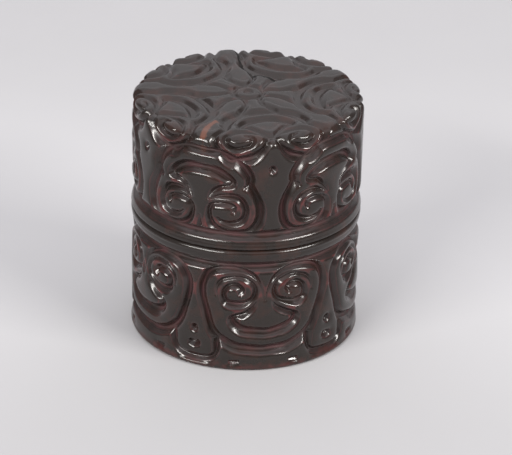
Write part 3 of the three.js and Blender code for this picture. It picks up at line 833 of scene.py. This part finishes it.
def mixed(tree, share, first, second, blend="MIX"):
    """A mix of two colours, each an output or linear RGB."""
    sides = [side if isinstance(side, bpy.types.NodeSocket) else (*side, 1) for side in (first, second)]
    return add(tree, "ShaderNodeMix", {"Factor": share, 6: sides[0], 7: sides[1]},
               data_type="RGBA", blend_type=blend).outputs[2]


def ramp(tree, value, stops, interpolation="LINEAR"):
    """The colour at a value on a ramp through (position, linear RGB) stops."""
    node = add(tree, "ShaderNodeValToRGB", {"Fac": value})
    node.color_ramp.interpolation = interpolation
    elements = node.color_ramp.elements
    while len(elements) < len(stops):
        elements.new(0.5)
    for element, (position, tone) in zip(elements, stops):
        element.position = position
        element.color = (*tone, 1)
    return node.outputs[0]


def bump(tree, height, strength, distance, under=(), invert=False):
    """The normal that a height gives, on top of another where there is one. The distance is in millimetres."""
    inputs = {"Height": height, "Strength": strength, "Distance": distance * MM, **dict(under)}
    return add(tree, "ShaderNodeBump", inputs, invert=invert).outputs[0]


def distance_to_line(tree, place, line):
    """How far a place lies, seen from above, from a line through (x, y) points in millimetres."""
    nearest = None
    for start, end in zip(line, line[1:]):
        run = [(b - a) * MM for a, b in zip(start, end)]
        square = run[0] ** 2 + run[1] ** 2
        offset = vector_of(tree, "SUBTRACT", place, (start[0] * MM, start[1] * MM, 0))
        flat = vector_of(tree, "MULTIPLY", offset, (1, 1, 0))
        share = vector_of(tree, "DOT_PRODUCT", flat, (run[0] / square, run[1] / square, 0))
        reached = vector_of(tree, "SCALE", (*run, 0), add(tree, "ShaderNodeClamp", {0: share}))
        distance = vector_of(tree, "DISTANCE", flat, reached)
        nearest = distance if nearest is None else math_of(tree, "MINIMUM", nearest, distance)
    return nearest


def mark_share(tree, place, on_top, line, half_width, strength):
    """How much of a mark along a line shows at a place on the lid's top."""
    distance = distance_to_line(tree, place, line)
    edge = mapped(tree, distance, 0.6 * half_width * MM, 1.3 * half_width * MM, strength, 0)
    return math_of(tree, "MULTIPLY", edge, on_top)


def layered_colour(tree, place, depth, shown, colours):
    """Dark lacquer with the layers that its slopes bare, as lines that come and go with the polish."""
    # Each layer was brushed on by hand, so that its line wavers by about a tenth of a millimetre
    waver = math_of(tree, "SUBTRACT", noise(tree, place, 2.5, 2), 0.5)
    layer = math_of(tree, "MULTIPLY_ADD", waver, 0.5, depth)
    lines = ramp(tree, math_of(tree, "DIVIDE", layer, LOWEST_LAYER), [
        (0, colours.dark_layer), (0.22, colours.dark_layer), (0.27, colours.red_layer),
        (0.33, colours.deep_layer), (0.56, colours.deep_layer), (0.62, colours.pale_layer),
        (0.68, colours.deep_layer), (0.8, colours.deep_layer), (0.89, colours.red_layer),
    ])
    polish = mapped(tree, noise(tree, place, 7, 2), 0.35, 0.6, 0.1, 1)
    return mixed(tree, math_of(tree, "MULTIPLY", polish, shown), colours.dark_layer, lines)


def aged_colour(tree, place, height, shown, lacquer, colours):
    """Lacquer with broad patches of a warmer brown, and with tips and a foot that are rubbed through to the red."""
    patches = mapped(tree, noise(tree, place, 9, 3, 0.6), 0.5, 0.72, 0, 0.5)
    aged = mixed(tree, patches, lacquer, colours.warm_patch)
    wear = add(tree, "ShaderNodeAttribute", attribute_name="wear").outputs["Fac"]
    handled = math_of(tree, "MAXIMUM", wear, mapped(tree, height, 2 * MM, 7 * MM, 0.7, 0))
    rubbed = math_of(tree, "MULTIPLY", handled, noise(tree, place, 4, 4, 0.65))
    share = math_of(tree, "MULTIPLY", mapped(tree, rubbed, 0.25, 0.55, 0, 0.65), shown)
    return mixed(tree, share, aged, colours.worn_edge)


def carved_lacquer(colours):
    """Polished dark lacquer with red layers in it. The lid's top shows them least, and has two marks of age."""
    material, tree, shader, place = new_material("lacquer_polished_carved")
    depth = add(tree, "ShaderNodeAttribute", attribute_name="lacquer_depth").outputs["Fac"]
    height = add(tree, "ShaderNodeSeparateXYZ", {0: place}).outputs["Z"]
    on_top = mapped(tree, height, 90 * MM, 96 * MM)
    shown = math_of(tree, "MULTIPLY_ADD", on_top, -0.78, 1)
    layered = layered_colour(tree, place, depth, shown, colours)
    tone = aged_colour(tree, place, height, shown, layered, colours)

    # The marks' edges stray by up to about a millimetre
    stray = vector_of(tree, "SUBTRACT", noise(tree, place, 2, 3).outputs["Color"], (0.5, 0.5, 0.5))
    strayed = vector_of(tree, "ADD", place, vector_of(tree, "SCALE", stray, 1.6 * MM))
    tone = mixed(tree, mark_share(tree, strayed, on_top, WORN_CREST, 1.1, 0.85), tone, colours.worn_crest)
    crack = mark_share(tree, strayed, on_top, AGE_CRACK, 0.5, 1)

    # A hand-rubbed gloss, a little duller in patches, which the grooves' bottoms and the crack don't have
    gloss = mapped(tree, noise(tree, place, 5, 4), 0.3, 0.7, 0.15, 0.27)
    unrubbed = math_of(tree, "ADD", gloss, mapped(tree, depth, 2.2, 2.8, 0, 0.35))

    # Fine pits and rubbing marks are drawn at 0.6 mm, so that they still show from a step away
    pits = bump(tree, noise(tree, place, 0.6, 3), 0.2, 0.015)
    wire(tree, shader, {
        "Base Color": mixed(tree, crack, tone, colours.crack),
        "Roughness": math_of(tree, "MAXIMUM", unrubbed, crack),
        "IOR": 1.5,
        "Normal": bump(tree, crack, 0.7, 0.6, {"Normal": pits}, invert=True),
    })
    return material


def plain_lacquer(colours):
    """Black lacquer rubbed to a soft gloss: near black, with faint brown clouds and brush marks."""
    material, tree, shader, place = new_material("lacquer_black_rubbed")
    clouds = noise(tree, place, 14, 4, 0.6)
    marks = noise(tree, add(tree, "ShaderNodeMapping", {"Vector": place, "Scale": (1, 1, 9)}), 4, 5)
    wire(tree, shader, {
        "Base Color": ramp(tree, clouds, [(0.35, colours.lining), (0.7, colours.lining_cloud)]),
        "Roughness": mapped(tree, marks, 0.3, 0.7, 0.22, 0.4),
        "IOR": 1.55,
        "Normal": bump(tree, marks, 0.2, 0.03),
    })
    return material


def run_and_height(tree, place):
    """How far round the core's wall a place lies, and how high."""
    split = add(tree, "ShaderNodeSeparateXYZ", {0: place}).outputs
    angle = math_of(tree, "ARCTAN2", split["Y"], split["X"])
    return math_of(tree, "MULTIPLY", angle, CORE_RADIUS * MM), split["Z"]


def bare_wood(name, bent, colours):
    """Planed light softwood. Its grain runs round a bent hoop and straight across a board."""
    material, tree, shader, place = new_material(name)
    if bent:
        run, height = run_and_height(tree, place)
        place = add(tree, "ShaderNodeCombineXYZ", {"X": run, "Z": height})
    rings = noise(tree, add(tree, "ShaderNodeMapping", {"Vector": place, "Scale": (1, 14, 14)}), 20, 4)
    wire(tree, shader, {
        "Base Color": ramp(tree, rings, [(0.35, colours.wood_dark), (0.65, colours.wood_light)]),
        "Roughness": 0.65,
        "Normal": bump(tree, rings, 0.3, 0.05),
    })
    return material


def ramie(name, on_wall, colours):
    """Plain-woven ramie soaked in lacquer: a dull brown weave."""
    material, tree, shader, place = new_material(name)
    if on_wall:
        directions = run_and_height(tree, place)
    else:
        split = add(tree, "ShaderNodeSeparateXYZ", {0: place}).outputs
        directions = split["X"], split["Y"]
    threads = []
    for direction in directions:
        turns = math_of(tree, "MULTIPLY", direction, 2 * math.pi / (THREAD_SPACING * MM))
        threads.append(math_of(tree, "SINE", turns))
    height = mapped(tree, math_of(tree, "MULTIPLY", *threads), -1, 1)
    wire(tree, shader, {
        "Base Color": mixed(tree, height, colours.cloth_dark, colours.cloth_light),
        "Roughness": 0.8,
        "Normal": bump(tree, height, 0.6, 0.15),
    })
    return material


# What a user would change


def length_property(label, description, default, low, high):
    """A length whose default and limits are given in millimetres."""
    return bpy.props.FloatProperty(
        name=label, description=description, default=default * MM, min=low * MM, max=high * MM, precision=5,
        unit="LENGTH")


def power_property(label, description, default):
    return bpy.props.FloatProperty(name=label, description=description, default=default, min=0, unit="POWER")


def colour_property(label, description, hex_colour):
    return bpy.props.FloatVectorProperty(
        name=label, description=description, default=linear(hex_colour), size=3, min=0, max=1, subtype="COLOR")


class CarvingSettings(bpy.types.PropertyGroup):
    edge_softness: length_property("Edge softness", "How far a groove's upper edge is rubbed round", 1.65, 0.05, 2)
    crest_softness: length_property(
        "Crest softness", "How far narrow crests between grooves are rounded", 0.6, 0.05, 1)
    deepest_cut: length_property("Deepest cut", "Depth that no groove passes", 3.15, 1, 3.3)
    wander: length_property("Hand's wander", "How far the carver's hand strays from the drawn line", 0.2, 0, 0.6)
    wander_seed: bpy.props.IntProperty(
        name="Wander seed", description="Picks one way for the hand to stray", default=7, min=0)
    grid_spacing: length_property(
        "Grid spacing", "Distance between the points that the carving is worked out on", 0.22, 0.15, 1)
    triangle_budget: bpy.props.IntProperty(
        name="Triangles in a coat", description="Most triangles that a coat keeps", default=190000, min=20000)


class FinishSettings(bpy.types.PropertyGroup):
    dark_layer: colour_property("Dark layer", "The top coat of dark brown lacquer", "241e1b")
    deep_layer: colour_property("Deep layer", "The dark layers between the red ones", "302726")
    red_layer: colour_property("Red layer", "The thin red layers", "442728")
    pale_layer: colour_property("Pale layer", "The worn middle layer", "3a2a29")
    warm_patch: colour_property("Warm patch", "Patches where the top coat has aged", "40261f")
    worn_edge: colour_property("Worn edge", "Tips that are rubbed through to the red", "5e2d2c")
    worn_crest: colour_property("Worn crest", "A crest on the top that is worn to a warm brown", "643c2c")
    crack: colour_property("Crack", "A hairline crack with age", "0e0b0a")
    lining: colour_property("Lining", "The plain black lacquer inside", "1d1917")
    lining_cloud: colour_property("Lining cloud", "Faint brown clouds in the lining", "2a211d")
    wood_dark: colour_property("Wood, dark", "Late wood in the core's grain", "96703f")
    wood_light: colour_property("Wood, light", "Early wood in the core's grain", "c2a06c")
    cloth_dark: colour_property("Cloth, dark", "Gaps in the ramie", "5f523f")
    cloth_light: colour_property("Cloth, light", "Threads of the ramie", "9a8a6c")


class StageSettings(bpy.types.PropertyGroup):
    floor: colour_property("Floor", "The pale floor", "c7c7c9")
    backdrop: colour_property("Backdrop", "What the camera sees past the floor", "d9d6da")
    key_power: power_property("Overhead light", "Power of the broad light over the box", 34)
    lamp_power: power_property("Front lamps", "Power of each lamp in front", 46)
    front_power: power_property(
        "Light above the front", "Power of the soft light that slopes on the lid's top mirror", 4.5)
    back_power: power_property("Light behind", "Power of the broad, dim light that the lid's top mirrors", 5.8)
    sky_strength: bpy.props.FloatProperty(
        name="Room light", description="Strength of the light from all round", default=0.27, min=0)


# Operators


class LACQUERBOX_OT_carved_coats(bpy.types.Operator):
    """Build the lid's and the base's carved coats of lacquer"""
    bl_idname = "lacquerbox.carved_coats"
    bl_label = "Carved coats"

    def execute(self, context):
        settings = context.scene.lacquerbox_carving
        material = carved_lacquer(context.scene.lacquerbox_finish)
        tree = repeat_tree()
        for name, coat, body, node in (
            ("lid_carved_coat", LidCoat(settings), "lid", "lid_carved_lacquer"),
            ("base_carved_coat", BaseCoat(settings), "base", "base_carved_lacquer"),
        ):
            piece = grown(name, coat.thinned(coat.half_cell()), tree, {
                "Repeats": REPEATS, "Start Angle": coat.axis_angle, "Weld Distance": COAT_WELD * MM,
                "Material": material,
            })
            coat.finish(piece.data)
            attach(piece, body)
            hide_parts(node)
        return {"FINISHED"}


class LACQUERBOX_OT_plain_lacquer(bpy.types.Operator):
    """Build the linings, the collar's coat and the panel under the box"""
    bl_idname = "lacquerbox.plain_lacquer"
    bl_label = "Plain lacquer"

    def execute(self, context):
        material = plain_lacquer(context.scene.lacquerbox_finish)
        tree = turn_tree()
        lid_low, lid_high = (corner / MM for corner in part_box("lid_lining"))
        base_low, base_high = (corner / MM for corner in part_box("base_lining"))
        collar_low, collar_high = (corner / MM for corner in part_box("collar_lacquer"))
        under_low, under_high = (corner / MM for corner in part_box("underside_lacquer"))
        coat = LINING_THICKNESS
        edge, skirt, cover = COLLAR_COAT
        shapes = {
            "lid_lining_cup": ("lid", "lid_lining", False, [
                (0, lid_high.z, 0, 4), (lid_high.x, lid_high.z, 0.5, 4), (lid_high.x, lid_low.z, 0.2, 1),
                (lid_high.x - coat, lid_low.z, 0.2, 4), (lid_high.x - coat, lid_high.z - coat, 2, 4),
                (0, lid_high.z - coat, 0, 4),
            ]),
            "base_lining_cup": ("base", "base_lining", False, [
                (0, base_low.z + coat, 0, 4), (base_high.x - coat, base_low.z + coat, 2, 4),
                (base_high.x - coat, base_high.z, 0.2, 1), (base_high.x, base_high.z, 0.05, 4),
                (base_high.x, base_low.z, 0.5, 4), (0, base_low.z, 0, 4),
            ]),
            "collar_coat": ("base", "collar_lacquer", True, [
                (edge, collar_high.z, 0.2, 1), (collar_high.x, collar_high.z, 0.45, 4),
                (collar_high.x, collar_low.z, 0.05, 1), (skirt, collar_low.z, 0.05, 4),
                (skirt, collar_high.z - cover, 0.05, 1), (edge, collar_high.z - cover, 0.05, 1),
            ]),
            "underside_panel": ("base", "underside_lacquer", False, [
                (0, under_high.z, 0, 4), (under_high.x, under_high.z, 0.1, 1), (under_high.x, under_low.z, 0.15, 4),
                (0, under_low.z, 0, 4),
            ]),
        }
        for name, (body, node, closed, corners) in shapes.items():
            points = Outline(corners, closed).points * MM
            line = bpy.data.meshes.new(name + "_outline")
            line.from_pydata([(r, 0, z) for r, z in points], [(i, i + 1) for i in range(len(points) - 1)], [])
            piece = grown(name, line, tree, {
                "Segments": 180, "Points": len(points), "Weld Distance": TURNED_WELD * MM, "Material": material,
            })
            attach(piece, body)
            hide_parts(node)
        return {"FINISHED"}


class LACQUERBOX_OT_core(bpy.types.Operator):
    """Give the wooden core and its cloth their materials"""
    bl_idname = "lacquerbox.core"
    bl_label = "Wood and cloth"

    def execute(self, context):
        colours = context.scene.lacquerbox_finish
        bent, board = bare_wood("cypress_bent", True, colours), bare_wood("cypress_board", False, colours)
        wall, disc = ramie("ramie_on_wall", True, colours), ramie("ramie_on_board", False, colours)
        for node, material in {
            "lid_wall_hoop": bent, "base_wall_hoop": bent, "collar_hoop": bent,
            "lid_top_board": board, "base_floor_board": board,
            "lid_cloth_strip": wall, "base_cloth_strip": wall,
            "lid_cloth_disc": disc, "base_cloth_disc": disc,
        }.items():
            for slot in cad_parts[node].material_slots:
                slot.material = material
        return {"FINISHED"}


class LACQUERBOX_OT_stage(bpy.types.Operator):
    """Add the floor, the lights, the background and the camera"""
    bl_idname = "lacquerbox.stage"
    bl_label = "Stage"

    def execute(self, context):
        scene, settings = context.scene, context.scene.lacquerbox_stage
        scene.view_settings.view_transform = "Standard"
        self.add_floor(settings)
        self.add_sky(scene, settings)
        self.add_lamps(settings)
        self.add_camera(scene)
        return {"FINISHED"}

    def add_floor(self, settings):
        mesh = bpy.data.meshes.new("floor")
        reach = 6
        corners = [(-reach, -reach, 0), (reach, -reach, 0), (reach, reach, 0), (-reach, reach, 0)]
        mesh.from_pydata(corners, [], [(0, 1, 2, 3)])
        floor = linked("floor", mesh)
        material, tree, shader, place = new_material("paper_matt_pale")
        grain = noise(tree, place, 40, 3)
        paper = mixed(tree, grain, [0.97 * c for c in settings.floor], settings.floor)

        # Painted light and shade: the paper's colour is darkened near the front and towards the back, where the
        # lamps light it most, and darkened least beside and just behind the box, where its shadows fall, so that
        # the floor looks even from the front
        away = mapped(tree, add(tree, "ShaderNodeSeparateXYZ", {0: place}).outputs["Y"], -0.12, 0.28)
        painted_floor_shade = ramp(tree, away, [(0, [0.79] * 3), (0.5, [0.96] * 3), (1, [0.85] * 3)], "EASE")
        wire(tree, shader, {"Base Color": mixed(tree, 1, paper, painted_floor_shade, "MULTIPLY"), "Roughness": 0.9})

        # From below the floor is clear
        below = add(tree, "ShaderNodeNewGeometry").outputs["Backfacing"]
        seen = add(tree, "ShaderNodeMixShader", {0: below, 1: shader, 2: add(tree, "ShaderNodeBsdfTransparent")})
        wire(tree, tree.nodes["Material Output"], {"Surface": seen})
        mesh.materials.append(material)

    def add_sky(self, scene, settings):
        world = bpy.data.worlds.new("room")
        world.use_nodes = True
        tree = world.node_tree
        tree.nodes.clear()
        room = add(tree, "ShaderNodeBackground", {
            "Color": (*linear("e6e3e8"), 1), "Strength": settings.sky_strength,
        })
        pale = add(tree, "ShaderNodeBackground", {"Color": (*settings.backdrop, 1), "Strength": 1})
        seen = add(tree, "ShaderNodeLightPath").outputs["Is Camera Ray"]
        world_seen = add(tree, "ShaderNodeMixShader", {0: seen, 1: room, 2: pale})
        add(tree, "ShaderNodeOutputWorld", {"Surface": world_seen})
        scene.world = world

    def add_lamps(self, settings):
        """Every lamp is a rectangle that faces the middle of the box."""
        for name, place, width, height, power, tint in (
            ("overhead", (0, 0.55, 1.9), 3.2, 3.2, settings.key_power, "f6f4f9"),
            ("front_top", (0, -1.25, 1.6), 2, 0.75, settings.front_power, "f8f6fa"),
            ("behind", (0, 1.9, 0.75), 3.4, 1.2, settings.back_power, "f2f2f6"),
            ("front_left", (-1.35, -1.55, 1.25), 1.4, 0.22, settings.lamp_power, "fffcf8"),
            ("front_right", (1.7, -1.15, 1.3), 1.2, 0.2, settings.lamp_power, "fffcf8"),
        ):
            lamp = bpy.data.lights.new(name, "AREA")
            lamp.shape = "RECTANGLE"
            lamp.size, lamp.size_y = width, height
            lamp.energy = power
            lamp.color = linear(tint)
            holder = linked(name, lamp)
            holder.location = place
            aim = -(holder.location - (cad_low + cad_high) / 2)
            holder.rotation_euler = aim.to_track_quat("-Z", "Y").to_euler()

    def add_camera(self, scene):
        """A long lens that looks down on the front at about 26 degrees."""
        # Fitted to the photo's outlines. Lengths are in metres and angles in radians.
        image_width, focal_pixels, box_radius = 512, 2618.17, 0.045
        elevation, distance, aim_height = 0.45819, 22.86489 * box_radius, 2.14519 * box_radius / 2
        yaw, pitch, roll = -0.00403, -0.00749, -0.02119
        data = bpy.data.cameras.new("camera")
        data.sensor_width = 36
        data.lens = focal_pixels * data.sensor_width / image_width
        data.clip_start, data.clip_end = 0.05, 50
        camera = linked("camera", data)
        place = (0, -distance * math.cos(elevation), distance * math.sin(elevation) + aim_height)
        tilt = Matrix.Rotation(math.pi / 2 - elevation, 4, "X")
        own_turns = Matrix.Rotation(yaw, 4, "Y") @ Matrix.Rotation(pitch, 4, "X") @ Matrix.Rotation(-roll, 4, "Z")
        camera.matrix_world = Matrix.Translation(place) @ tilt @ own_turns
        scene.camera = camera


class LACQUERBOX_PT_panel(bpy.types.Panel):
    """Lists the box's pieces and their settings"""
    bl_idname = "LACQUERBOX_PT_panel"
    bl_label = "Lacquer Box"
    bl_space_type = "VIEW_3D"
    bl_region_type = "UI"
    bl_category = "Lacquer Box"

    def draw(self, context):
        layout = self.layout
        for operator in OPERATORS:
            layout.operator(operator.bl_idname)
        for group in SETTINGS:
            box = layout.box()
            values = getattr(context.scene, group)
            for name in SETTINGS[group].__annotations__:
                box.prop(values, name)


OPERATORS = [
    LACQUERBOX_OT_carved_coats, LACQUERBOX_OT_plain_lacquer, LACQUERBOX_OT_core, LACQUERBOX_OT_stage,
]
SETTINGS = {
    "lacquerbox_carving": CarvingSettings,
    "lacquerbox_finish": FinishSettings,
    "lacquerbox_stage": StageSettings,
}


def register():
    for item in (*SETTINGS.values(), *OPERATORS, LACQUERBOX_PT_panel):
        bpy.utils.register_class(item)
    for name, group in SETTINGS.items():
        setattr(bpy.types.Scene, name, bpy.props.PointerProperty(type=group))


def unregister():
    for name in SETTINGS:
        delattr(bpy.types.Scene, name)
    for item in (LACQUERBOX_PT_panel, *reversed(OPERATORS), *reversed(SETTINGS.values())):
        bpy.utils.unregister_class(item)


def main():
    register()
    bpy.ops.lacquerbox.carved_coats()
    bpy.ops.lacquerbox.plain_lacquer()
    bpy.ops.lacquerbox.core()
    bpy.ops.lacquerbox.stage()


if __name__ == "__main__":
    main()
